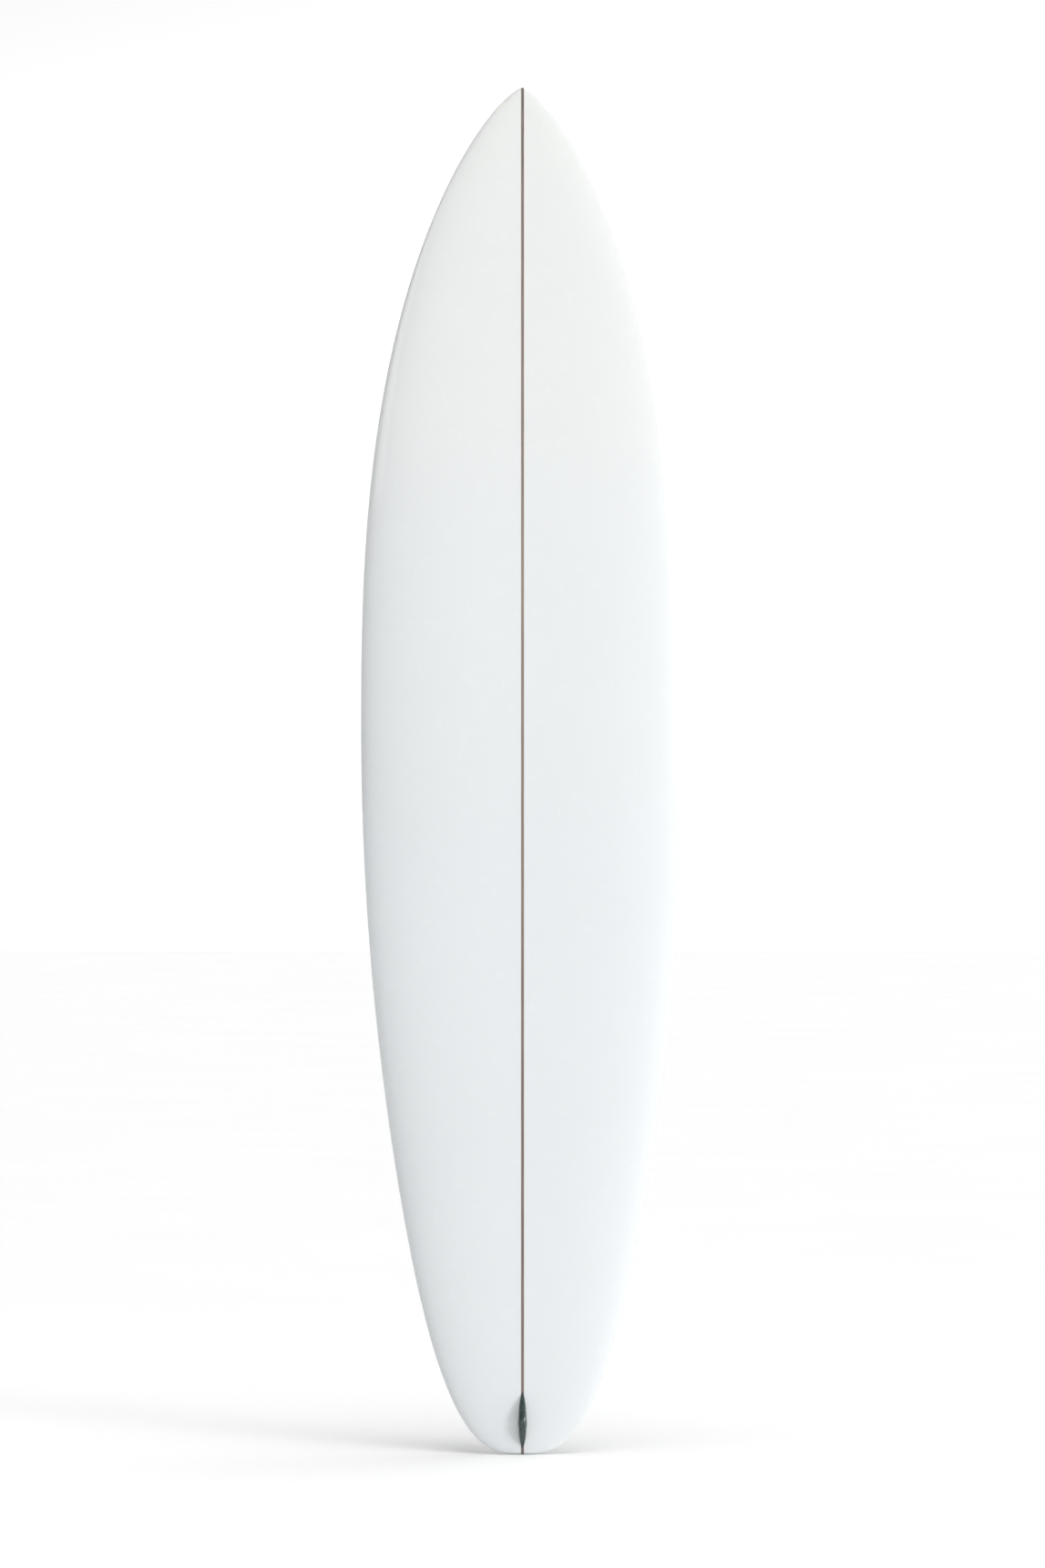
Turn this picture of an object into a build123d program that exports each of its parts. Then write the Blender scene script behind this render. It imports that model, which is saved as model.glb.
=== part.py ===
from build123d import *
import os
from math import atan, cos, pi, sin, sqrt

# An 8'0" surfboard standing on its tail, in millimetres. The tail end is at z = 0 and the nose at
# z = LENGTH. X runs across the board. The deck faces -Y, and the bottom and its fin face +Y.

# Board
LENGTH = 2438.4
WIDTH = 580.0
THICK = 76.0
WIDE_POINT = 0.532 * LENGTH
THICK_POINT = 0.52 * LENGTH
FLAT_POINT = 0.42 * LENGTH
NOSE_ROCKER = 124.0
TAIL_ROCKER = 63.0
NOSE_EDGE = 8.0
TAIL_EDGE = 12.0
NOSE_ROUND = 5.0
TAIL_ROUND = 6.0
STATIONS = 20

# Laminate and stringer, from the finished surface inwards
GLOSS = 0.4
CLOTH = 0.9
LAP = 50.0
STRINGER = 4.8
GLUE = 0.4

# Fin box, in the bottom near the tail. Its depths are measured inwards from the bottom.
BOX_REAR = 165.0
BOX_LENGTH = 267.0
BOX_WIDTH = 25.4
BOX_DEPTH = 25.0
POTTING = 1.5
SLOT_LENGTH = 250.0
SLOT_WIDTH = 9.6
SLOT_DEPTH = 21.0
GROOVE_TOP = 9.4
GROOVE_FLOOR = 14.4
GROOVE_WIDTH = 14.2
NOTCH_LENGTH = 18.0

# Fin and its fasteners
FIN_DEPTH = 229.0
FIN_REAR = -90.0
FIN_CHORD = 149.0
FIN_THICK = 9.2
FIN_EDGE = 1.0
FIN_GAP = 0.6
FIN_STATIONS = 10
TAB_FRONT = 83.0
TAB_DEPTH = 18.5
TONGUE_REAR = 60.0
TONGUE_TOP = 2.6
TONGUE_FLOOR = 7.6
PIN_X = -82.0
PIN_DEPTH = 11.9
PIN_RADIUS = 2.35
PIN_LENGTH = 13.4
SCREW_X = 72.0
SCREW_RADIUS = 2.03
SCREW_HEAD_RADIUS = 3.9
SCREW_HEAD = 2.2
SCREW_TIP = 16.5
SCREW_HOLE_RADIUS = 2.3
DRIVER_SLOT = 1.0
PLATE_LENGTH = 15.0
PLATE_WIDTH = 13.6
PLATE_THICK = 3.0
PLATE_GAP = 0.05
THREAD_RADIUS = 2.08

# Leash loop, on the deck at the tail
LOOP_CREST = 57.0
LOOP_REAR = 44.0
LOOP_FRONT = 54.0
LOOP_FOOT = 0.8
LOOP_HEIGHT = 21.5
LOOP_HALF_WIDTH = 8.0
LOOP_HOLE_RADIUS = 6.0
LOOP_HOLE_HEIGHT = 8.5
LOOP_ROOT = 1.5


def share(value, low, high):
    """How far value lies from low to high, kept between 0 and 1."""
    return min(max((value - low) / (high - low), 0.0), 1.0)


# ---- The board's lines, each a function of the height z above the tail end ----


def half_width(z):
    nose = share(z, WIDE_POINT, LENGTH)
    tail = 1 - share(z, 0, WIDE_POINT)
    if z > WIDE_POINT:
        return WIDTH / 2 * (1 - nose**2.61) ** 0.733
    return WIDTH / 2 * (1 - 0.577 * tail**2) * (1 - tail**12.9) ** 0.325


def thickness(z):
    nose = share(z, THICK_POINT, LENGTH)
    tail = 1 - share(z, 0, THICK_POINT)
    if z > THICK_POINT:
        return NOSE_EDGE + (THICK - NOSE_EDGE) * (1 - nose**2.1)
    return TAIL_EDGE + (THICK - TAIL_EDGE) * (1 - tail**2.8)


def bottom_y(z):
    if z > FLAT_POINT:
        rocker = NOSE_ROCKER * share(z, FLAT_POINT, LENGTH) ** 2.7
    else:
        rocker = TAIL_ROCKER * (1 - share(z, 0, FLAT_POINT)) ** 2.3
    return TAIL_ROCKER + TAIL_EDGE / 2 - rocker


def deck_y(z):
    return bottom_y(z) - thickness(z)


def end_round(z):
    """Share of the thickness that is left where the nose and tail edges are rounded."""
    tail = 1 - share(z, 0, TAIL_ROUND)
    nose = share(z, LENGTH - NOSE_ROUND, LENGTH)
    return sqrt(1 - tail**2) * sqrt(1 - nose**2)


def apex_share(z):
    """Height of the rail's widest line above the bottom, as a share of the thickness."""
    return 0.22 + 0.18 * share(z, 0, 0.4 * LENGTH) + 0.1 * share(z, 0.6 * LENGTH, LENGTH)


def apex_y(z):
    return bottom_y(z) - thickness(z) * (0.5 + (apex_share(z) - 0.5) * end_round(z))


def tuck(z):
    """Width of the curved part of the bottom, beside the rail, as a share of the half width."""
    return 0.16 + 0.1 * share(z, 0, 0.3 * LENGTH) + 0.24 * share(z, 0.55 * LENGTH, LENGTH)


def spacing(points):
    """Spline parameters in step with the points' distances, from 0 to 1."""
    runs = [0.0]
    for (x0, y0), (x1, y1) in zip(points, points[1:]):
        runs.append(runs[-1] + sqrt((x1 - x0) ** 2 + (y1 - y0) ** 2))
    return [run / runs[-1] for run in runs]


# Angles round the deck's curve and the tuck's, and the parameters that all sections share
CROWN = [pi / 2 * step / 6 for step in range(7)]
TURN = [pi / 2 * step / 4 for step in range(5)]
CROWN_SPACING = spacing([(WIDTH / 2 * sin(a) ** (2 / 3), THICK / 2 * cos(a)) for a in CROWN])
TURN_SPACING = spacing([(cos(a), sin(a)) for a in TURN])


def half_section(z, inset):
    """Outline of half the board at z, inset below the finished surface."""
    wide = half_width(z)
    wide -= inset * wide / (wide + 30)
    middle = bottom_y(z) - thickness(z) / 2
    half = thickness(z) * end_round(z) / 2
    half -= inset * half / (half + 2)
    apex = apex_y(z)
    deck = middle - half
    bottom = middle + half
    flat = wide * (1 - tuck(z))
    add(
        Edge.make_spline(
            [(wide * sin(a) ** (2 / 3), apex + (deck - apex) * cos(a)) for a in CROWN],
            tangents=[(1, 0), (0, 1)],
            parameters=CROWN_SPACING,
        )
    )
    add(
        Edge.make_spline(
            [(flat + (wide - flat) * cos(a), apex + (bottom - apex) * sin(a)) for a in TURN],
            tangents=[(0, 1), (-1, 0)],
            parameters=TURN_SPACING,
        )
    )
    Polyline((flat, bottom), (0, bottom), (0, deck))


def heights():
    """Heights of the sections, closer together towards both ends of the board."""
    evenly = [pi * step / STATIONS for step in range(1, STATIONS)]
    tail = [TAIL_ROUND * part for part in (0.1, 0.4, 1)]
    nose = [LENGTH - NOSE_ROUND * part for part in (1, 0.4, 0.15)]
    return tail + [LENGTH * (1 - cos(a)) / 2 for a in evenly] + nose


def hull(inset):
    """The whole board's shape, inset below the finished surface."""
    with BuildPart() as shape:
        for z in heights():
            with BuildSketch(Plane.XY.offset(inset + z * (1 - 2 * inset / LENGTH))):
                with BuildLine():
                    half_section(z, inset)
                make_face()
        loft()
        mirror(about=Plane.YZ)
    return shape.part


# ---- Spaces that divide the layers from each other ----


def deck_side():
    """All the space on the deck's side of the rail's widest line."""
    line = [(apex_y(LENGTH * step / 14), LENGTH * step / 14) for step in range(15)]
    low = (line[0][0], -THICK)
    high = (line[-1][0], LENGTH + THICK)
    with BuildPart() as space:
        with BuildSketch(Plane.YZ):
            with BuildLine():
                Spline(line)
                Polyline(line[-1], high, (-WIDTH, high[1]), (-WIDTH, low[1]), low, line[0])
            make_face()
        extrude(amount=WIDTH, both=True)
    return space.part


def inside_laps():
    """The space inside the edge of the cloth that is lapped round the rails."""
    scale_x = 1 - 2 * LAP / WIDTH
    scale_z = 1 - 2 * LAP / LENGTH
    edge = [(half_width(z) * scale_x, LAP + z * scale_z) for z in heights()]
    with BuildPart() as space:
        with BuildSketch(Plane.XZ):
            with BuildLine():
                Spline(edge)
                Polyline(edge[-1], (0, edge[-1][1]), (0, edge[0][1]), edge[0])
            make_face()
        extrude(amount=WIDTH, both=True)
        mirror(about=Plane.YZ)
    return space.part


def centre_slab(thick):
    """A slab on the board's centre plane, past its edges all round."""
    with BuildPart() as slab:
        with Locations((0, 0, LENGTH / 2)):
            Box(thick, 2 * WIDTH, 2 * LENGTH)
    return slab.part


# ---- The fin box's own frame: x to the nose, y to +X, z out of the bottom ----

BOX_MIDDLE = BOX_REAR + BOX_LENGTH / 2
BOX_TILT = atan((bottom_y(BOX_MIDDLE + 1) - bottom_y(BOX_MIDDLE - 1)) / 2)
BOX_PLANE = Plane(
    origin=(0, bottom_y(BOX_MIDDLE), BOX_MIDDLE),
    x_dir=(0, sin(BOX_TILT), cos(BOX_TILT)),
    z_dir=(0, cos(BOX_TILT), -sin(BOX_TILT)),
)


# The same frame seen from the side: x to the nose, y out of the bottom, z to -X
SIDE_PLANE = Plane(origin=BOX_PLANE.origin, x_dir=BOX_PLANE.x_dir, z_dir=(-1, 0, 0))


def box_outline(margin):
    """The space inside the fin box's outer walls, made larger by margin, past the bottom."""
    with BuildPart() as outline:
        with BuildSketch(BOX_PLANE.offset(-BOX_DEPTH - margin)):
            SlotOverall(BOX_LENGTH + 2 * margin, BOX_WIDTH + 2 * margin)
        extrude(amount=BOX_DEPTH + 8 * POTTING)
    return outline.part


# ---- Writing a finished piece ----


def keep(piece, name):
    piece.part.label = name
    export_step(piece.part, f"parts/{name}.step")
    return piece.part


os.makedirs("parts", exist_ok=True)

# The nested shapes from the finished surface down to the bare blank
finished = hull(0)
laminated = hull(GLOSS)
blank = hull(GLOSS + CLOTH)
deck_space = deck_side()
lap_space = inside_laps()
pocket = box_outline(POTTING)

# ---- Blank: two foam halves glued to a wooden stringer ----

with BuildPart() as foam:
    add(blank)
    add(centre_slab(STRINGER + 2 * GLUE), mode=Mode.SUBTRACT)
    add(pocket, mode=Mode.SUBTRACT)

with BuildPart() as glue:
    add(blank)
    add(centre_slab(STRINGER + 2 * GLUE), mode=Mode.INTERSECT)
    add(centre_slab(STRINGER), mode=Mode.SUBTRACT)
    add(pocket, mode=Mode.SUBTRACT)

for side, kept in (("left", Keep.BOTTOM), ("right", Keep.TOP)):
    with BuildPart() as foam_core:
        add(foam.part)
        split(bisect_by=Plane.YZ, keep=kept)
    keep(foam_core, f"foam_core_{side}")

    with BuildPart() as glue_line:
        add(glue.part)
        split(bisect_by=Plane.YZ, keep=kept)
    keep(glue_line, f"glue_line_{side}")

with BuildPart() as stringer:
    add(blank)
    add(centre_slab(STRINGER), mode=Mode.INTERSECT)
    add(pocket, mode=Mode.SUBTRACT)
keep(stringer, "stringer")

# ---- Laminate: the bottom cloth laps round the rails onto the deck, then resin coats both ----

with BuildPart() as cloth:
    add(laminated)
    add(blank, mode=Mode.SUBTRACT)
    add(pocket, mode=Mode.SUBTRACT)

with BuildPart() as deck_glass:
    add(cloth.part)
    add(deck_space, mode=Mode.INTERSECT)
    add(lap_space, mode=Mode.INTERSECT)
keep(deck_glass, "deck_glass")

with BuildPart() as bottom_glass:
    add(cloth.part)
    add(deck_space & lap_space, mode=Mode.SUBTRACT)
keep(bottom_glass, "bottom_glass")

with BuildPart() as gloss_layer:
    add(finished)
    add(laminated, mode=Mode.SUBTRACT)
    add(pocket, mode=Mode.SUBTRACT)

with BuildPart() as deck_gloss_coat:
    add(gloss_layer.part)
    add(deck_space, mode=Mode.INTERSECT)
keep(deck_gloss_coat, "deck_gloss_coat")

with BuildPart() as bottom_gloss_coat:
    add(gloss_layer.part)
    add(deck_space, mode=Mode.SUBTRACT)
keep(bottom_gloss_coat, "bottom_gloss_coat")

# ---- Leash loop: a hump of glass rope on the deck, with a hole through it from side to side ----


def loop_share(z, power):
    """From 1 at the loop's crest to nearly 0 at its two ends."""
    reach = LOOP_FRONT if z > LOOP_CREST else LOOP_REAR
    return 1 - (abs(z - LOOP_CREST) / (reach + LOOP_ROOT)) ** power


def loop_height(z):
    return LOOP_FOOT + (LOOP_HEIGHT - LOOP_FOOT) * loop_share(z, 2) ** 1.5


def loop_half_width(z):
    return LOOP_HALF_WIDTH * loop_share(z, 2.4) ** 0.8


ARCH = [pi * step / 12 for step in range(-6, 7)]
ARCH_SHAPE = [(abs(sin(a)) ** 0.5 * (1 if a > 0 else -1), cos(a) ** 0.5) for a in ARCH[1:-1]]
ARCH_SHAPE = [(-1, 0), *ARCH_SHAPE, (1, 0)]

with BuildPart() as leash_loop:
    for step in range(13):
        z = LOOP_CREST - LOOP_REAR + (LOOP_REAR + LOOP_FRONT) * step / 12
        root = deck_y(z) + LOOP_ROOT
        dome = [
            (loop_half_width(z) * x, root - (loop_height(z) + LOOP_ROOT) * y)
            for x, y in ARCH_SHAPE
        ]
        with BuildSketch(Plane.XY.offset(z)):
            with BuildLine():
                add(
                    Edge.make_spline(
                        dome, tangents=[(0, -1), (0, 1)], parameters=spacing(ARCH_SHAPE)
                    )
                )
                Line(dome[-1], dome[0])
            make_face()
    loft()
    hole_axis = Plane(
        origin=(0, deck_y(LOOP_CREST) - LOOP_HOLE_HEIGHT, LOOP_CREST), z_dir=(1, 0, 0)
    )
    with BuildSketch(hole_axis):
        Circle(LOOP_HOLE_RADIUS)
    extrude(amount=2 * LOOP_HALF_WIDTH, both=True, mode=Mode.SUBTRACT)
    add(finished, mode=Mode.SUBTRACT)
keep(leash_loop, "leash_loop")

# ---- Fin box, flush with the bottom, with a T slot along it ----

with BuildPart() as fin_box:
    add(box_outline(0))
    with BuildSketch(BOX_PLANE.offset(-SLOT_DEPTH)):
        RectangleRounded(SLOT_LENGTH, SLOT_WIDTH, 2)
    extrude(amount=SLOT_DEPTH + 8 * POTTING, mode=Mode.SUBTRACT)
    with BuildSketch(BOX_PLANE.offset(-GROOVE_FLOOR)):
        RectangleRounded(SLOT_LENGTH, GROOVE_WIDTH, 2)
    extrude(amount=GROOVE_FLOOR - GROOVE_TOP, mode=Mode.SUBTRACT)
    with BuildSketch(BOX_PLANE.offset(-GROOVE_TOP)):
        Rectangle(NOTCH_LENGTH, GROOVE_WIDTH)
    extrude(amount=GROOVE_TOP + 8 * POTTING, mode=Mode.SUBTRACT)
    add(finished, mode=Mode.INTERSECT)
keep(fin_box, "fin_box")

with BuildPart() as fin_box_resin:
    add(pocket)
    add(box_outline(0), mode=Mode.SUBTRACT)
    add(finished, mode=Mode.INTERSECT)
keep(fin_box_resin, "fin_box_resin")

# ---- Fin: a raked, foiled blade on a tab that fits the box's slot ----


def fin_chord(part):
    """Length of the blade from edge to edge, at a share of its depth."""
    return FIN_CHORD * (1 - part**1.55) ** 0.62


def fin_rear(part):
    return FIN_REAR + 30 * part - 110 * part**2.6


FOIL_STEPS = range(-7, 8)
FOIL_SPACING = spacing([(FIN_CHORD * (step / 7) ** 2, FIN_THICK * step / 7) for step in FOIL_STEPS])


def foil(part):
    """Outline of the blade, round at the leading edge and thin at the trailing edge."""
    chord = fin_chord(part)
    front = fin_rear(part) + chord
    half = FIN_THICK * (1 - 0.72 * part**1.3) / 2
    sides = []
    for step in FOIL_STEPS:
        back = (step / 7) ** 2
        swell = 2.598 * sqrt(back) * (1 - back) * half + FIN_EDGE / 2 * back
        sides.append((front - chord * back, swell if step > 0 else -swell))
    add(Edge.make_spline(sides, parameters=FOIL_SPACING))
    Line(sides[-1], sides[0])


with BuildPart() as fin:
    for step in range(FIN_STATIONS + 1):
        part = sin(pi / 2 * step / FIN_STATIONS) * 0.999
        with BuildSketch(BOX_PLANE.offset(FIN_GAP + (FIN_DEPTH - FIN_GAP) * part)):
            with BuildLine():
                foil(part)
            make_face()
    loft()
    with BuildSketch(SIDE_PLANE):
        with BuildLine():
            Polyline(
                (FIN_REAR, FIN_GAP),
                (FIN_REAR, -TAB_DEPTH),
                (TONGUE_REAR, -TAB_DEPTH),
                (TONGUE_REAR, -TONGUE_FLOOR),
                (TAB_FRONT, -TONGUE_FLOOR),
                (TAB_FRONT, -TONGUE_TOP),
                (TONGUE_REAR, -TONGUE_TOP),
                (TONGUE_REAR, FIN_GAP),
                close=True,
            )
        make_face()
    extrude(amount=FIN_THICK / 2, both=True)
    with BuildSketch(SIDE_PLANE):
        with Locations((PIN_X, -PIN_DEPTH)):
            Circle(PIN_RADIUS)
    extrude(amount=FIN_THICK, both=True, mode=Mode.SUBTRACT)
    with BuildSketch(BOX_PLANE.offset(-TONGUE_FLOOR)):
        with Locations((SCREW_X, 0)):
            Circle(SCREW_HOLE_RADIUS)
    extrude(amount=TONGUE_FLOOR, mode=Mode.SUBTRACT)
keep(fin, "fin")

# ---- The fin's cross pin, and the screw and plate that clamp it ----

with BuildPart() as fin_pin:
    with BuildSketch(SIDE_PLANE):
        with Locations((PIN_X, -PIN_DEPTH)):
            Circle(PIN_RADIUS)
    extrude(amount=PIN_LENGTH / 2, both=True)
    chamfer(fin_pin.edges().filter_by(GeomType.CIRCLE), 0.4)
keep(fin_pin, "fin_pin")

with BuildPart() as fin_screw:
    with BuildSketch(BOX_PLANE.offset(-SCREW_TIP)):
        with Locations((SCREW_X, 0)):
            Circle(SCREW_RADIUS)
    extrude(amount=SCREW_TIP - TONGUE_TOP)
    with BuildSketch(BOX_PLANE.offset(-TONGUE_TOP)):
        with Locations((SCREW_X, 0)):
            Circle(SCREW_HEAD_RADIUS)
    extrude(amount=SCREW_HEAD)
    head_rim = fin_screw.edges().filter_by(GeomType.CIRCLE).sort_by(SortBy.RADIUS)[-2:]
    fillet(head_rim.sort_by(Axis.Y)[-1], 0.8)
    with BuildSketch(BOX_PLANE.offset(-TONGUE_TOP + SCREW_HEAD)):
        with Locations((SCREW_X, 0)):
            Rectangle(DRIVER_SLOT, 2 * SCREW_HEAD_RADIUS)
    extrude(amount=-SCREW_HEAD / 2, mode=Mode.SUBTRACT)
keep(fin_screw, "fin_screw")

with BuildPart() as fin_plate:
    with BuildSketch(BOX_PLANE.offset(-GROOVE_TOP - PLATE_GAP - PLATE_THICK)):
        with Locations((SCREW_X, 0)):
            RectangleRounded(PLATE_LENGTH, PLATE_WIDTH, 1)
            Circle(THREAD_RADIUS, mode=Mode.SUBTRACT)
    extrude(amount=PLATE_THICK)
keep(fin_plate, "fin_plate")
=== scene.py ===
import math

import bpy
import numpy as np
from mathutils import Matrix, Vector


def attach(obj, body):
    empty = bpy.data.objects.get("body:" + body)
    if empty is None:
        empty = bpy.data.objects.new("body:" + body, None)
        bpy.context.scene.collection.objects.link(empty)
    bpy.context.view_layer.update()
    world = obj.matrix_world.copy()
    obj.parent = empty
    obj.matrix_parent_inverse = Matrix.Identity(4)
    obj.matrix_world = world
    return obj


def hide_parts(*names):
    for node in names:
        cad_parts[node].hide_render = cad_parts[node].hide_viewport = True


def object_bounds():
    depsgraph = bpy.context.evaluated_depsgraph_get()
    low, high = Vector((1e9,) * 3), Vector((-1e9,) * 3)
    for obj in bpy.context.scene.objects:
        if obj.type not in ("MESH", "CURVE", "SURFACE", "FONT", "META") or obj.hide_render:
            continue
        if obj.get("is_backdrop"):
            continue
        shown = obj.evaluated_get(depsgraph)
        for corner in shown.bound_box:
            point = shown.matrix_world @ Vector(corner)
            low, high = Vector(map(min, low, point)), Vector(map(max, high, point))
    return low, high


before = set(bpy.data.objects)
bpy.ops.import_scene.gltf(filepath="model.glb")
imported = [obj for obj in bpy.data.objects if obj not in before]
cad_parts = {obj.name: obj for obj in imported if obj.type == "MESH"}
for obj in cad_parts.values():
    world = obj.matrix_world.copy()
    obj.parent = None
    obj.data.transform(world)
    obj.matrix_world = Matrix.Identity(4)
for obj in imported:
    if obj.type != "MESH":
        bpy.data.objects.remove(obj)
CAD_LOW, CAD_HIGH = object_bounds()

# ---- The board's lines in metres, the same formulas as the CAD model's ----

LENGTH = 2.4384
WIDTH = 0.580
THICK = 0.076
WIDE_POINT = 0.532 * LENGTH
THICK_POINT = 0.52 * LENGTH
FLAT_POINT = 0.42 * LENGTH
NOSE_ROCKER = 0.124
TAIL_ROCKER = 0.063
NOSE_EDGE = 0.008
TAIL_EDGE = 0.012
NOSE_ROUND = 0.005
TAIL_ROUND = 0.006
SKIN = 0.0013
STRINGER = 0.0048
GLUE = 0.0004
# The inset fades out where half the width or thickness is not much more than these
NARROW = 0.030
THIN = 0.002


def share(value, low, high):
    return np.clip((np.asarray(value, float) - low) / (high - low), 0.0, 1.0)


def half_width(z):
    nose = share(z, WIDE_POINT, LENGTH)
    tail = 1 - share(z, 0, WIDE_POINT)
    ahead = WIDTH / 2 * (1 - nose**2.61) ** 0.733
    behind = WIDTH / 2 * (1 - 0.577 * tail**2) * (1 - tail**12.9) ** 0.325
    return np.where(z > WIDE_POINT, ahead, behind)


def thickness(z):
    nose = share(z, THICK_POINT, LENGTH)
    tail = 1 - share(z, 0, THICK_POINT)
    ahead = NOSE_EDGE + (THICK - NOSE_EDGE) * (1 - nose**2.1)
    behind = TAIL_EDGE + (THICK - TAIL_EDGE) * (1 - tail**2.8)
    return np.where(z > THICK_POINT, ahead, behind)


def bottom_y(z):
    ahead = NOSE_ROCKER * share(z, FLAT_POINT, LENGTH) ** 2.7
    behind = TAIL_ROCKER * (1 - share(z, 0, FLAT_POINT)) ** 2.3
    return TAIL_ROCKER + TAIL_EDGE / 2 - np.where(z > FLAT_POINT, ahead, behind)


def end_round(z):
    tail = 1 - share(z, 0, TAIL_ROUND)
    nose = share(z, LENGTH - NOSE_ROUND, LENGTH)
    return np.sqrt(1 - tail**2) * np.sqrt(1 - nose**2)


def apex_share(z):
    return 0.22 + 0.18 * share(z, 0, 0.4 * LENGTH) + 0.1 * share(z, 0.6 * LENGTH, LENGTH)


def apex_y(z):
    return bottom_y(z) - thickness(z) * (0.5 + (apex_share(z) - 0.5) * end_round(z))


def tuck(z):
    return 0.16 + 0.1 * share(z, 0, 0.3 * LENGTH) + 0.24 * share(z, 0.55 * LENGTH, LENGTH)


def station_rows(count):
    """Heights along the board, closer together towards the nose tip and the tail end."""
    even = (1 - np.cos(np.pi * np.arange(1, count) / count)) / 2 * LENGTH
    step = np.array([0.01, 0.06, 0.15, 0.3, 0.5, 0.75, 1.0, 1.4])
    ends = np.concatenate([step * TAIL_ROUND, LENGTH - step * NOSE_ROUND])
    clear = 1.7
    inner = even[(even > clear * TAIL_ROUND) & (even < LENGTH - clear * NOSE_ROUND)]
    return np.sort(np.concatenate([ends, inner]))


def place(z, inset):
    """Height of a section in the CAD box, which starts and ends a little inside the full length."""
    low = CAD_LOW.z + inset
    high = CAD_HIGH.z - inset
    return low + z / LENGTH * (high - low)


def section_lines(z, inset):
    """Half width and the deck, rail and bottom positions of each section, inset below the surface."""
    wide = half_width(z)
    wide = wide - inset * wide / (wide + NARROW)
    middle = bottom_y(z) - thickness(z) / 2
    half = thickness(z) * end_round(z) / 2
    half = half - inset * half / (half + THIN)
    return wide, middle - half, apex_y(z), middle + half


def deck_point(part, wide, deck, apex):
    """y of the deck's curve where x is part of the half width."""
    return apex + (deck - apex) * np.sqrt(np.clip(1 - part**3, 0, 1))


# ---- Camera, light and floor ----

FRAME_HEIGHT = 2.805
CAMERA_DISTANCE = 10.0
CAMERA_DROP = 0.020
SENSOR = 36.0


def add_camera():
    """Level camera, square to the deck, with a long lens."""
    data = bpy.data.cameras.new("camera")
    data.sensor_width = SENSOR
    data.lens = SENSOR * CAMERA_DISTANCE / FRAME_HEIGHT
    data.clip_end = 100
    camera = bpy.data.objects.new("camera", data)
    camera.location = (0, -CAMERA_DISTANCE, LENGTH / 2 - CAMERA_DROP)
    camera.rotation_euler = (math.radians(90), 0, 0)
    bpy.context.collection.objects.link(camera)
    bpy.context.scene.camera = camera


def add_world():
    """White surroundings: a bright wall all round the horizon, and dimmer above and on the left."""
    base = 0.155
    wall = 0.92
    right = 0.64
    above = 0.38
    wall_full = 0.08
    wall_end = 0.35
    least = 0.04
    world = bpy.data.worlds.new("surroundings")
    bpy.context.scene.world = world
    world.use_nodes = True
    nodes, links = world.node_tree.nodes, world.node_tree.links
    where = nodes.new("ShaderNodeTexCoord")
    parts = nodes.new("ShaderNodeSeparateXYZ")
    links.new(where.outputs["Generated"], parts.inputs["Vector"])
    horizon = nodes.new("ShaderNodeMapRange")
    horizon.interpolation_type = "SMOOTHSTEP"
    horizon.inputs["From Min"].default_value = wall_full
    horizon.inputs["From Max"].default_value = wall_end
    horizon.inputs["To Min"].default_value = base + wall
    horizon.inputs["To Max"].default_value = base
    links.new(parts.outputs["Z"], horizon.inputs["Value"])
    lean = nodes.new("ShaderNodeVectorMath")
    lean.operation = "DOT_PRODUCT"
    lean.inputs[1].default_value = (right, 0, above)
    links.new(where.outputs["Generated"], lean.inputs[0])
    total = nodes.new("ShaderNodeMath")
    total.operation = "ADD"
    links.new(horizon.outputs["Result"], total.inputs[0])
    links.new(lean.outputs["Value"], total.inputs[1])
    kept = nodes.new("ShaderNodeMath")
    kept.operation = "MAXIMUM"
    kept.inputs[1].default_value = least
    links.new(total.outputs["Value"], kept.inputs[0])
    links.new(kept.outputs["Value"], nodes["Background"].inputs["Strength"])
    nodes["Background"].inputs["Color"].default_value = (1, 1, 1, 1)


def add_sun(name, energy, softness, towards):
    """A distant light, softness degrees across. towards points from the board to the light."""
    data = bpy.data.lights.new(name, "SUN")
    data.energy = energy
    data.angle = math.radians(softness)
    light = bpy.data.objects.new(name, data)
    light.rotation_mode = "QUATERNION"
    light.rotation_quaternion = Vector(towards).to_track_quat("Z", "Y")
    bpy.context.collection.objects.link(light)


def add_fill():
    """A weak panel light high on the left, which lifts the upper half of the left rail."""
    data = bpy.data.lights.new("fill", "AREA")
    data.energy = 6.0
    data.size = 1.2
    fill = bpy.data.objects.new("fill", data)
    fill.location = (-2.2, -1.4, 2.4)
    aim = Vector((0, 0, 0.6 * LENGTH)) - fill.location
    fill.rotation_mode = "QUATERNION"
    fill.rotation_quaternion = aim.to_track_quat("-Z", "Y")
    bpy.context.collection.objects.link(fill)


def add_floor():
    """Wide pale floor under the tail."""
    reach = 30.0
    drop = 0.0005
    corners = [(-reach, -reach), (reach, -reach), (reach, reach), (-reach, reach)]
    floor = new_piece("floor", [(x, y, CAD_LOW.z - drop) for x, y in corners], [(0, 1, 2, 3)])
    finish, shader = new_finish("floor_paint", (0.95, 0.95, 0.95), 0.7)
    cloud = noise(finish, 1.5, 3.0)
    tint(finish, shader, cloud, (0.945, 0.945, 0.948), (0.965, 0.965, 0.965))
    floor.data.materials.append(finish)
    floor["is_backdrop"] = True


# ---- Meshes ----


def new_piece(name, points, faces):
    """A mesh object of its own, from points in metres and faces as lists of their numbers."""
    mesh = bpy.data.meshes.new(name)
    mesh.from_pydata([tuple(map(float, p)) for p in points], [], faces)
    mesh.update()
    piece = bpy.data.objects.new(name, mesh)
    bpy.context.collection.objects.link(piece)
    return piece


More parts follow.
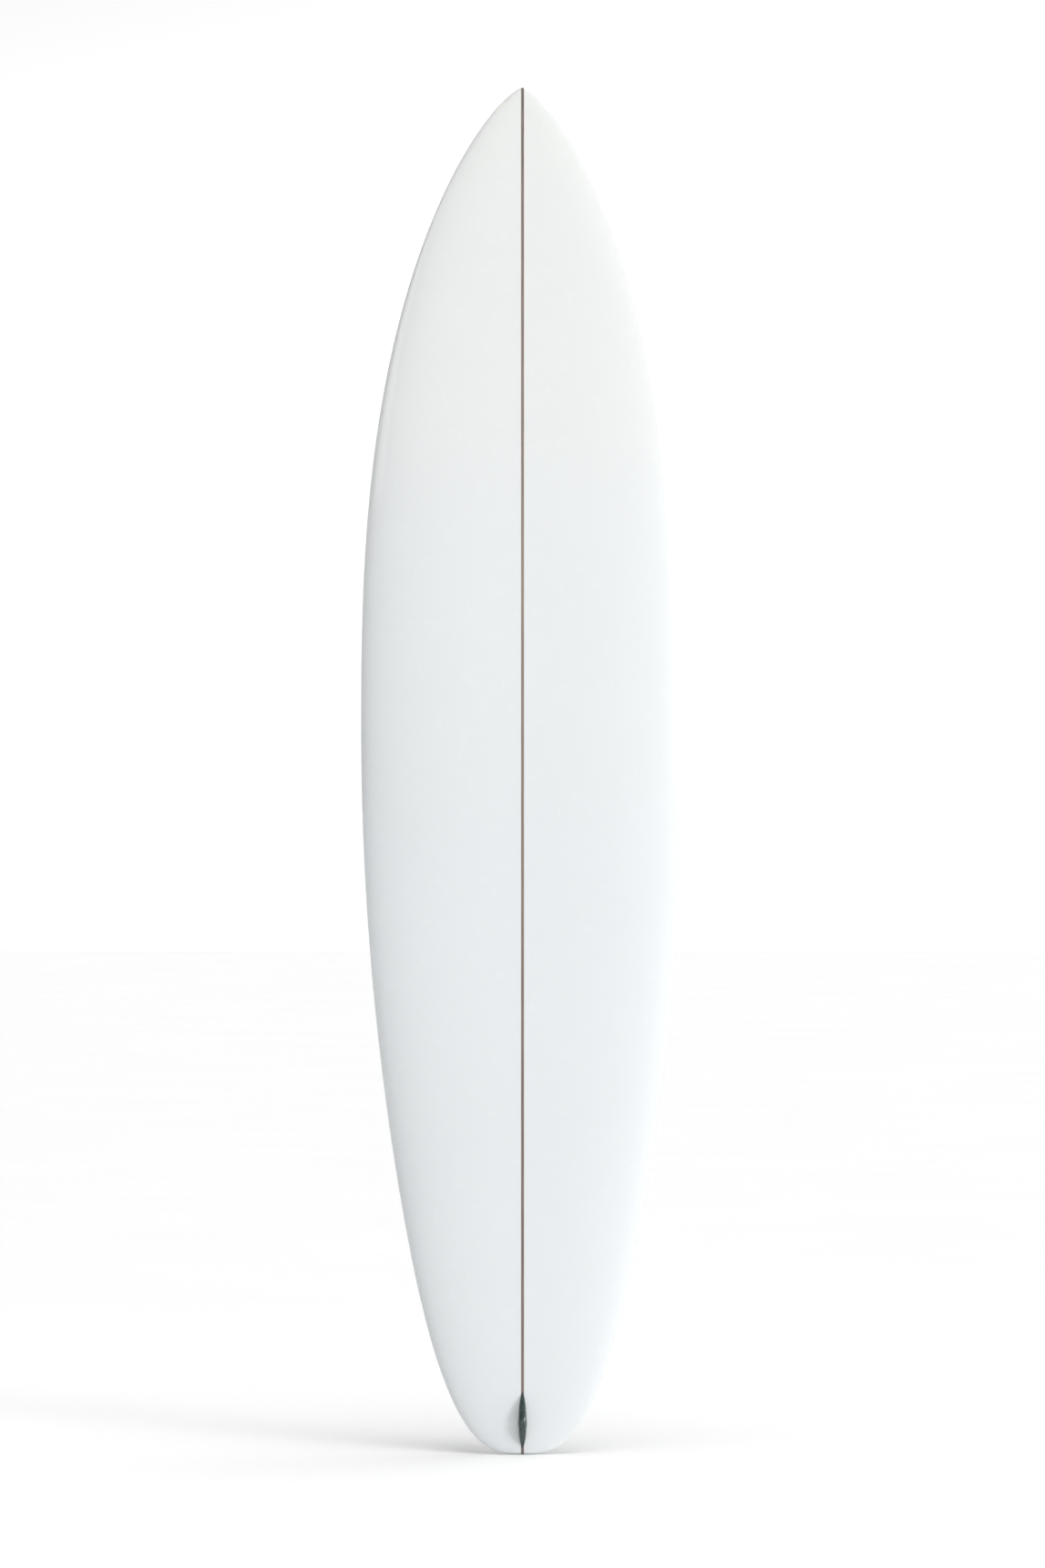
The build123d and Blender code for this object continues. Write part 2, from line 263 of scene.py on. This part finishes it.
def smooth(piece, sharp_degrees=40):
    """Smooth shading, apart from edges sharper than the angle."""
    piece.data.polygons.foreach_set("use_smooth", [True] * len(piece.data.polygons))
    piece.data.set_sharp_from_angle(angle=math.radians(sharp_degrees))
    piece.data.update()


def tube_faces(rows, around, start=0):
    """Quads of a tube of closed rings, which is capped at each end by quads across the ring."""
    faces = []
    for row in range(rows - 1):
        low = start + row * around
        for k in range(around):
            after = (k + 1) % around
            faces.append((low + k, low + after, low + around + after, low + around + k))
    half = around // 2
    for low, flip in ((start, True), (start + (rows - 1) * around, False)):
        for k in range(half - 1):
            quad = (low + k, low + k + 1, low + around - 2 - k, low + around - 1 - k)
            faces.append(quad[::-1] if flip else quad)
    return faces


def both_sides(name, rings):
    """A closed strip on the right of the stringer and its mirror image on the left, as one piece.
    rings is rows by points by XYZ, each ring running outside first and then back along the inside."""
    rows, around = rings.shape[:2]
    right = rings.reshape(-1, 3)
    left = right * (-1, 1, 1)
    faces = tube_faces(rows, around)
    mirrored = [tuple(index + len(right) for index in face[::-1]) for face in faces]
    return new_piece(name, np.concatenate([right, left]), faces + mirrored)


ROWS = station_rows(360)
GAP = STRINGER / 2 + GLUE
MOST_OF_HALF = 0.6
FLAT_LEAST = 1.2


def centre_gap(wide):
    return np.minimum(GAP, MOST_OF_HALF * wide)


def deck_curve(inset, columns=30, turn_columns=14):
    """Deck from beside the stringer to the rail, and round the rail to the flat of the bottom."""
    wide, deck, apex, bottom = section_lines(ROWS, inset)
    start = centre_gap(wide) / wide
    out = []
    for step in np.linspace(0, 1, columns):
        part = 1 - (1 - step) ** 2 * (1 - start)
        out.append((part * wide, deck_point(part, wide, deck, apex)))
    flat = np.maximum(wide * (1 - tuck(ROWS)), centre_gap(wide) * FLAT_LEAST)
    for angle in np.linspace(0, np.pi / 2, turn_columns)[1:]:
        x = flat + (wide - flat) * np.cos(angle)
        out.append((x, apex + (bottom - apex) * np.sin(angle)))
    return rows_of(out, inset)


def bottom_curve(inset, columns=9):
    """Flat of the bottom, from the rail's turn to beside the stringer."""
    wide, _, _, bottom = section_lines(ROWS, inset)
    low = centre_gap(wide)
    flat = np.maximum(wide * (1 - tuck(ROWS)), low * FLAT_LEAST)
    out = [(flat + (low - flat) * step, bottom) for step in np.linspace(0, 1, columns)]
    return rows_of(out, inset)


def rows_of(columns, inset):
    """Rows by points by XYZ, from a list of (x, y) columns down the board."""
    height = place(ROWS, inset)
    return np.stack([np.stack([x, y, height], axis=1) for x, y in columns], axis=1)


def skin(name, curve):
    """A closed laminate panel between the finished surface and the blank."""
    rings = np.concatenate([curve(0.0), curve(SKIN)[:, ::-1]], axis=1)
    piece = both_sides(name, rings)
    smooth(piece)
    return piece


def centre_strip(name, low, high):
    """An upright strip of the board between x = low and x = high, flush with deck and bottom."""
    wide, deck, _, bottom = section_lines(ROWS, 0.0)
    height = place(ROWS, 0.0)
    limit = MOST_OF_HALF * wide / GAP
    left = np.sign(low) * np.minimum(abs(low), abs(low) * limit)
    right = np.sign(high) * np.minimum(abs(high), abs(high) * limit)
    corners = [(left, deck), (right, deck), (right, bottom), (left, bottom)]
    rings = np.stack([np.stack([x, y, height], axis=1) for x, y in corners], axis=1)
    piece = new_piece(name, rings.reshape(-1, 3), tube_faces(len(ROWS), 4))
    smooth(piece)
    return piece


# ---- Materials ----


def new_finish(name, colour, rough, **settings):
    """A Principled material, and its shader node. settings are values of the shader's own sockets."""
    finish = bpy.data.materials.new(name)
    finish.use_nodes = True
    shader = finish.node_tree.nodes["Principled BSDF"]
    shader.inputs["Base Color"].default_value = (*colour, 1)
    shader.inputs["Roughness"].default_value = rough
    for socket, value in settings.items():
        shader.inputs[socket.replace("_", " ")].default_value = value
    return finish, shader


def position(finish, scale=(1, 1, 1)):
    """Position on the piece in metres, stretched by scale."""
    nodes, links = finish.node_tree.nodes, finish.node_tree.links
    where = nodes.new("ShaderNodeTexCoord")
    stretch = nodes.new("ShaderNodeVectorMath")
    stretch.operation = "MULTIPLY"
    stretch.inputs[1].default_value = scale
    links.new(where.outputs["Object"], stretch.inputs[0])
    return stretch.outputs["Vector"]


def noise(finish, scale, detail, stretch=(1, 1, 1), rough=0.5):
    nodes, links = finish.node_tree.nodes, finish.node_tree.links
    cloud = nodes.new("ShaderNodeTexNoise")
    cloud.inputs["Scale"].default_value = scale
    cloud.inputs["Detail"].default_value = detail
    cloud.inputs["Roughness"].default_value = rough
    links.new(position(finish, stretch), cloud.inputs["Vector"])
    return cloud.outputs["Fac"]


def ramp(finish, value, low, high, low_at=0.3, high_at=0.7):
    """A colour from low to high as value goes from low_at to high_at."""
    nodes, links = finish.node_tree.nodes, finish.node_tree.links
    steps = nodes.new("ShaderNodeValToRGB")
    steps.color_ramp.elements[0].position = low_at
    steps.color_ramp.elements[1].position = high_at
    steps.color_ramp.elements[0].color = (*low, 1)
    steps.color_ramp.elements[1].color = (*high, 1)
    links.new(value, steps.inputs["Fac"])
    return steps.outputs["Color"]


def hump(finish, value, peak):
    """A colour that rises from black to peak at the middle of value and falls back again."""
    steps = ramp(finish, value, (0, 0, 0), (0, 0, 0), 0.0, 1.0)
    middle = steps.node.color_ramp.elements.new(0.5)
    middle.color = (*peak, 1)
    return steps


def tint(finish, shader, value, low, high, low_at=0.3, high_at=0.7):
    colour = ramp(finish, value, low, high, low_at, high_at)
    finish.node_tree.links.new(colour, shader.inputs["Base Color"])


def roughen(finish, shader, value, low, high):
    nodes, links = finish.node_tree.nodes, finish.node_tree.links
    span = nodes.new("ShaderNodeMapRange")
    span.inputs["To Min"].default_value = low
    span.inputs["To Max"].default_value = high
    links.new(value, span.inputs["Value"])
    links.new(span.outputs["Result"], shader.inputs["Roughness"])


def bump(finish, shader, value, height, strength=1.0):
    """Relief of the given height in metres. A second call adds to the first."""
    nodes, links = finish.node_tree.nodes, finish.node_tree.links
    relief = nodes.new("ShaderNodeBump")
    relief.inputs["Strength"].default_value = strength
    relief.inputs["Distance"].default_value = height
    links.new(value, relief.inputs["Height"])
    before = shader.inputs["Normal"].links
    if before:
        links.new(before[0].from_socket, relief.inputs["Normal"])
    links.new(relief.outputs["Normal"], shader.inputs["Normal"])


# Places of a Mix node's colour sockets, which share their names with its other sockets
MIX_FIRST = 6
MIX_SECOND = 7
MIX_RESULT = 2


def mixed(finish, first, second, part, how="MIX"):
    """Two colours mixed, with part as the second one's share."""
    nodes, links = finish.node_tree.nodes, finish.node_tree.links
    blend = nodes.new("ShaderNodeMix")
    blend.data_type = "RGBA"
    blend.blend_type = how
    links.new(first, blend.inputs[MIX_FIRST])
    links.new(second, blend.inputs[MIX_SECOND])
    blend.inputs["Factor"].default_value = part
    return blend.outputs[MIX_RESULT]


def along(finish, axis, low, high):
    """0 to 1 as the position on an axis goes from low to high, in metres."""
    nodes, links = finish.node_tree.nodes, finish.node_tree.links
    parts = nodes.new("ShaderNodeSeparateXYZ")
    links.new(position(finish), parts.inputs["Vector"])
    span = nodes.new("ShaderNodeMapRange")
    span.inputs["From Min"].default_value = low
    span.inputs["From Max"].default_value = high
    links.new(parts.outputs[axis], span.inputs["Value"])
    return span.outputs["Result"]


WAVE_PERIOD = 0.314


def weave(finish, pitch):
    """Crossed threads of glass cloth. A Wave texture of scale 1 repeats once every WAVE_PERIOD."""
    nodes, links = finish.node_tree.nodes, finish.node_tree.links
    threads = []
    for direction in ("X", "Z"):
        wave = nodes.new("ShaderNodeTexWave")
        wave.bands_direction = direction
        wave.inputs["Scale"].default_value = WAVE_PERIOD / pitch
        wave.inputs["Distortion"].default_value = 0.6
        wave.inputs["Detail"].default_value = 1.0
        links.new(position(finish), wave.inputs["Vector"])
        threads.append(wave.outputs["Fac"])
    both = nodes.new("ShaderNodeMath")
    both.operation = "MULTIPLY"
    links.new(threads[0], both.inputs[0])
    links.new(threads[1], both.inputs[1])
    return both.outputs["Value"]


def gloss_finish(name, nose, tail):
    """White laminate under polished resin, with the cloth showing faintly in it."""
    finish, shader = new_finish(
        name, nose, 0.24, Specular_IOR_Level=0.1, Coat_Weight=1.0, Coat_Roughness=0.04
    )
    tail_to_nose = ramp(finish, along(finish, "Z", 0.0, LENGTH), tail, nose, 0.45, 1.0)
    patches = ramp(finish, noise(finish, 2.5, 1.5), (0.985, 0.985, 0.985), (1.0, 1.0, 1.0))
    colour = mixed(finish, tail_to_nose, patches, 1.0, "MULTIPLY")
    finish.node_tree.links.new(colour, shader.inputs["Base Color"])
    roughen(finish, shader, noise(finish, 30.0, 5.0), 0.17, 0.34)
    thread_pitch = 0.0016
    bump(finish, shader, weave(finish, thread_pitch), height=0.00002, strength=0.25)
    return finish


def wood_finish(name, dark, pale, lighter):
    """Straight-grained softwood on edge under resin, lighter for a stretch ahead of the middle."""
    finish, shader = new_finish(name, pale, 0.3, Coat_Weight=1.0, Coat_Roughness=0.05)
    grain = ramp(finish, noise(finish, 60.0, 6.0, (14, 4, 0.12), 0.7), dark, pale, 0.35, 0.65)
    stretch = hump(finish, along(finish, "Z", 0.25 * LENGTH, LENGTH), lighter)
    colour = mixed(finish, grain, stretch, 1.0, "ADD")
    finish.node_tree.links.new(colour, shader.inputs["Base Color"])
    bump(finish, shader, noise(finish, 60.0, 6.0, (14, 4, 0.12), 0.7), 0.0001, 0.4)
    return finish


def glass_rope_finish(name, dark, pale):
    """Tinted glass strands in resin."""
    finish, shader = new_finish(
        name, dark, 0.12, Specular_IOR_Level=0.1, Coat_Weight=1.0, Coat_Roughness=0.05
    )
    strands = noise(finish, 500.0, 3.0, (1.0, 0.6, 0.16), 0.6)
    tint(finish, shader, strands, dark, pale, 0.35, 0.75)
    roughen(finish, shader, noise(finish, 300.0, 3.0), 0.08, 0.25)
    bump(finish, shader, strands, 0.0005, 0.5)
    return finish


def moulded_finish(name, dark, pale, rough):
    """Plain moulded plastic or resin with a fine texture and slight mottling."""
    finish, shader = new_finish(name, pale, rough)
    tint(finish, shader, noise(finish, 40.0, 4.0), dark, pale)
    roughen(finish, shader, noise(finish, 160.0, 3.0), rough - 0.08, rough + 0.1)
    bump(finish, shader, noise(finish, 900.0, 2.0), 0.0001, 0.3)
    return finish


def metal_finish(name, dark, pale):
    """Turned and brushed metal."""
    finish, shader = new_finish(name, pale, 0.3, Metallic=1.0)
    tint(finish, shader, noise(finish, 200.0, 4.0), dark, pale)
    roughen(finish, shader, noise(finish, 900.0, 3.0, (1, 1, 0.1)), 0.2, 0.42)
    bump(finish, shader, noise(finish, 1500.0, 2.0, (1, 1, 0.1)), 0.00005, 0.3)
    return finish


# ---- Cutting the fin box's place out of the pieces round it ----

BOX_LENGTH = 0.267
BOX_REAR = 0.165
BOX_WIDTH = 0.0254
POTTING = 0.0015
POCKET_FLOOR = -0.0265
POCKET_TOP = 0.012
BOX_MIDDLE = BOX_REAR + BOX_LENGTH / 2
BOX_TILT = math.atan(float(bottom_y(BOX_MIDDLE + 1e-3) - bottom_y(BOX_MIDDLE - 1e-3)) / 2e-3)


def box_point(x, y, z):
    """From the fin box's own frame: x to the nose, y to +X, z out of the bottom."""
    along_box = Vector((0, math.sin(BOX_TILT), math.cos(BOX_TILT)))
    outwards = Vector((0, math.cos(BOX_TILT), -math.sin(BOX_TILT)))
    middle = Vector((0, float(bottom_y(BOX_MIDDLE)), BOX_MIDDLE))
    return middle + x * along_box + z * outwards + Vector((y, 0, 0))


def box_cutter():
    """The routed pocket: a slot with round ends, from inside the foam to clear of the bottom."""
    radius = BOX_WIDTH / 2 + POTTING
    straight = BOX_LENGTH / 2 + POTTING - radius
    outline = []
    for end in (1, -1):
        for angle in np.linspace(-np.pi / 2, np.pi / 2, 17):
            x = end * (straight + radius * math.cos(angle))
            outline.append((x, end * radius * math.sin(angle)))
    count = len(outline)
    levels = (POCKET_FLOOR, POCKET_TOP)
    points = [box_point(x, y, level) for level in levels for x, y in outline]
    faces = [tuple(range(count))[::-1], tuple(range(count, 2 * count))]
    for k in range(count):
        after = (k + 1) % count
        faces.append((k, after, count + after, count + k))
    return new_piece("pocket_cutter", points, faces)


def cut(piece, cutter):
    """Takes cutter's volume out of piece, in its mesh."""
    modifier = piece.modifiers.new("cut", "BOOLEAN")
    modifier.operation = "DIFFERENCE"
    modifier.solver = "EXACT"
    modifier.object = cutter
    keep_result(piece)


def keep_result(piece):
    """Replaces a piece's mesh by what its modifiers make of it."""
    seen = piece.evaluated_get(bpy.context.evaluated_depsgraph_get())
    mesh = bpy.data.meshes.new_from_object(seen)
    piece.modifiers.clear()
    piece.data = mesh


# ---- Leash loop ----

LOOP_CREST = 0.057
LOOP_REAR = 0.0455
LOOP_FRONT = 0.0555
LOOP_HEIGHT = 0.0213
LOOP_FOOT = 0.0006
LOOP_HALF_WIDTH = 0.0078
LOOP_HOLE_RADIUS = 0.006
LOOP_HOLE_HEIGHT = 0.0085
LOOP_SPARE = 0.0002
LOOP_SUNK = 0.001
LOOP_SQUARENESS = 0.6
HOLE_FLOOR = 0.0022


def deck_middle(z):
    return float(bottom_y(z) - thickness(z))


def loop_body():
    """A hump along the stringer with sunk, tapering feet."""
    around, rows = 29, 81
    points = []
    for z in np.linspace(LOOP_CREST - LOOP_REAR, LOOP_CREST + LOOP_FRONT, rows):
        reach = (LOOP_FRONT if z > LOOP_CREST else LOOP_REAR) + LOOP_SPARE
        away = abs(z - LOOP_CREST) / reach
        half = LOOP_HALF_WIDTH * (1 - away**2.4) ** 0.8
        high = LOOP_FOOT + (LOOP_HEIGHT - LOOP_FOOT) * (1 - away**2) ** 1.5
        root = deck_middle(z) + LOOP_SUNK
        for angle in np.linspace(-np.pi / 2, np.pi / 2, around):
            x = half * math.copysign(abs(math.sin(angle)) ** LOOP_SQUARENESS, angle)
            rise = (high + LOOP_SUNK) * abs(math.cos(angle)) ** LOOP_SQUARENESS
            points.append((x, root - rise, z))
    faces = [tuple(range(around)), tuple(range((rows - 1) * around, rows * around))[::-1]]
    for row in range(rows - 1):
        low = row * around
        for k in range(around):
            after = (k + 1) % around
            faces.append((low + after, low + k, low + around + k, low + around + after))
    return new_piece("leash_loop_rope", points, faces)


def loop_hole():
    """A round bar across the loop, flared towards both mouths and flat towards the deck."""
    around = 40
    y = deck_middle(LOOP_CREST) - LOOP_HOLE_HEIGHT
    stations = [(-0.012, 1.5), (-0.0078, 1.16), (-0.006, 1.03), (-0.004, 1.0)]
    stations += [(-x, size) for x, size in stations[::-1]]
    points = []
    for x, size in stations:
        radius = LOOP_HOLE_RADIUS * size
        for angle in np.linspace(0, 2 * np.pi, around, endpoint=False):
            rise = radius * math.cos(angle)
            rise = max(rise, HOLE_FLOOR - LOOP_HOLE_HEIGHT)
            points.append((x, y - rise, LOOP_CREST + radius * math.sin(angle)))
    faces = [tuple(range(around)), tuple(range((len(stations) - 1) * around, len(points)))[::-1]]
    for ring in range(len(stations) - 1):
        low = ring * around
        for k in range(around):
            after = (k + 1) % around
            faces.append((low + after, low + k, low + around + k, low + around + after))
    return new_piece("hole_cutter", points, faces)


def leash_loop():
    loop = loop_body()
    hole = loop_hole()
    cut(loop, hole)
    bpy.data.objects.remove(hole)
    remesh = loop.modifiers.new("remesh", "REMESH")
    remesh.mode = "VOXEL"
    remesh.voxel_size = 0.0006
    soften = loop.modifiers.new("soften", "SMOOTH")
    soften.factor = 0.5
    soften.iterations = 5
    keep_result(loop)
    smooth(loop, 75)
    return loop


# ---- Putting the board together ----

add_camera()
add_world()
add_sun("key", energy=1.10, softness=16, towards=(0.78, -0.60, 0.16))
add_sun("overhead", energy=1.75, softness=50, towards=(0.10, -0.10, 1.0))
add_sun("spark", energy=0.05, softness=4, towards=(0.03, -1.0, 0.09))
add_fill()
add_floor()

gloss = gloss_finish("white_gloss", nose=(0.742, 0.754, 0.740), tail=(0.702, 0.728, 0.742))
wood = wood_finish(
    "stringer_wood",
    dark=(0.060, 0.042, 0.038),
    pale=(0.190, 0.145, 0.125),
    lighter=(0.085, 0.070, 0.055),
)
glue = moulded_finish("glue_line", (0.42, 0.30, 0.24), (0.58, 0.45, 0.38), 0.3)
foam = moulded_finish("foam", (0.78, 0.76, 0.68), (0.86, 0.84, 0.78), 0.75)
rope = glass_rope_finish("tinted_rope", (0.012, 0.026, 0.024), (0.055, 0.085, 0.075))
panel = glass_rope_finish("tinted_panel", (0.010, 0.024, 0.021), (0.032, 0.055, 0.048))
plastic = moulded_finish("box_plastic", (0.58, 0.60, 0.59), (0.70, 0.72, 0.71), 0.42)
potting = moulded_finish("potting", (0.62, 0.62, 0.57), (0.74, 0.74, 0.70), 0.25)
steel = metal_finish("steel", (0.42, 0.42, 0.43), (0.62, 0.62, 0.63))
brass = metal_finish("brass", (0.52, 0.36, 0.14), (0.72, 0.54, 0.26))

pocket = box_cutter()


def finish_piece(piece, body, material, slot, *nodes):
    piece.data.materials.clear()
    piece.data.materials.append(material)
    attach(piece, body)
    if nodes:
        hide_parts(*nodes)


deck_skin = skin("deck_skin", deck_curve)
finish_piece(deck_skin, "board", gloss, "gloss_resin", "deck_gloss_coat", "deck_glass")

bottom_skin = skin("bottom_skin", bottom_curve)
cut(bottom_skin, pocket)
finish_piece(bottom_skin, "board", gloss, "gloss_resin", "bottom_gloss_coat", "bottom_glass")

stringer = centre_strip("stringer_wood", -STRINGER / 2, STRINGER / 2)
cut(stringer, pocket)
finish_piece(stringer, "board", wood, "stringer_wood", "stringer")

for side, low, high in (("left", -GAP, -STRINGER / 2), ("right", STRINGER / 2, GAP)):
    line = centre_strip(f"glue_{side}", low, high)
    cut(line, pocket)
    finish_piece(line, "board", glue, "stringer_glue", f"glue_line_{side}")

loop = leash_loop()
finish_piece(loop, "board", rope, "loop_glass", "leash_loop")

bpy.data.objects.remove(pocket)

for name, material in (
    ("foam_core_left", foam),
    ("foam_core_right", foam),
    ("fin_box", plastic),
    ("fin_box_resin", potting),
    ("fin", panel),
    ("fin_pin", brass),
    ("fin_screw", steel),
    ("fin_plate", steel),
):
    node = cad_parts[name]
    node.data.materials.clear()
    node.data.materials.append(material)

bpy.context.scene.view_settings.view_transform = "Standard"

low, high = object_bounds()
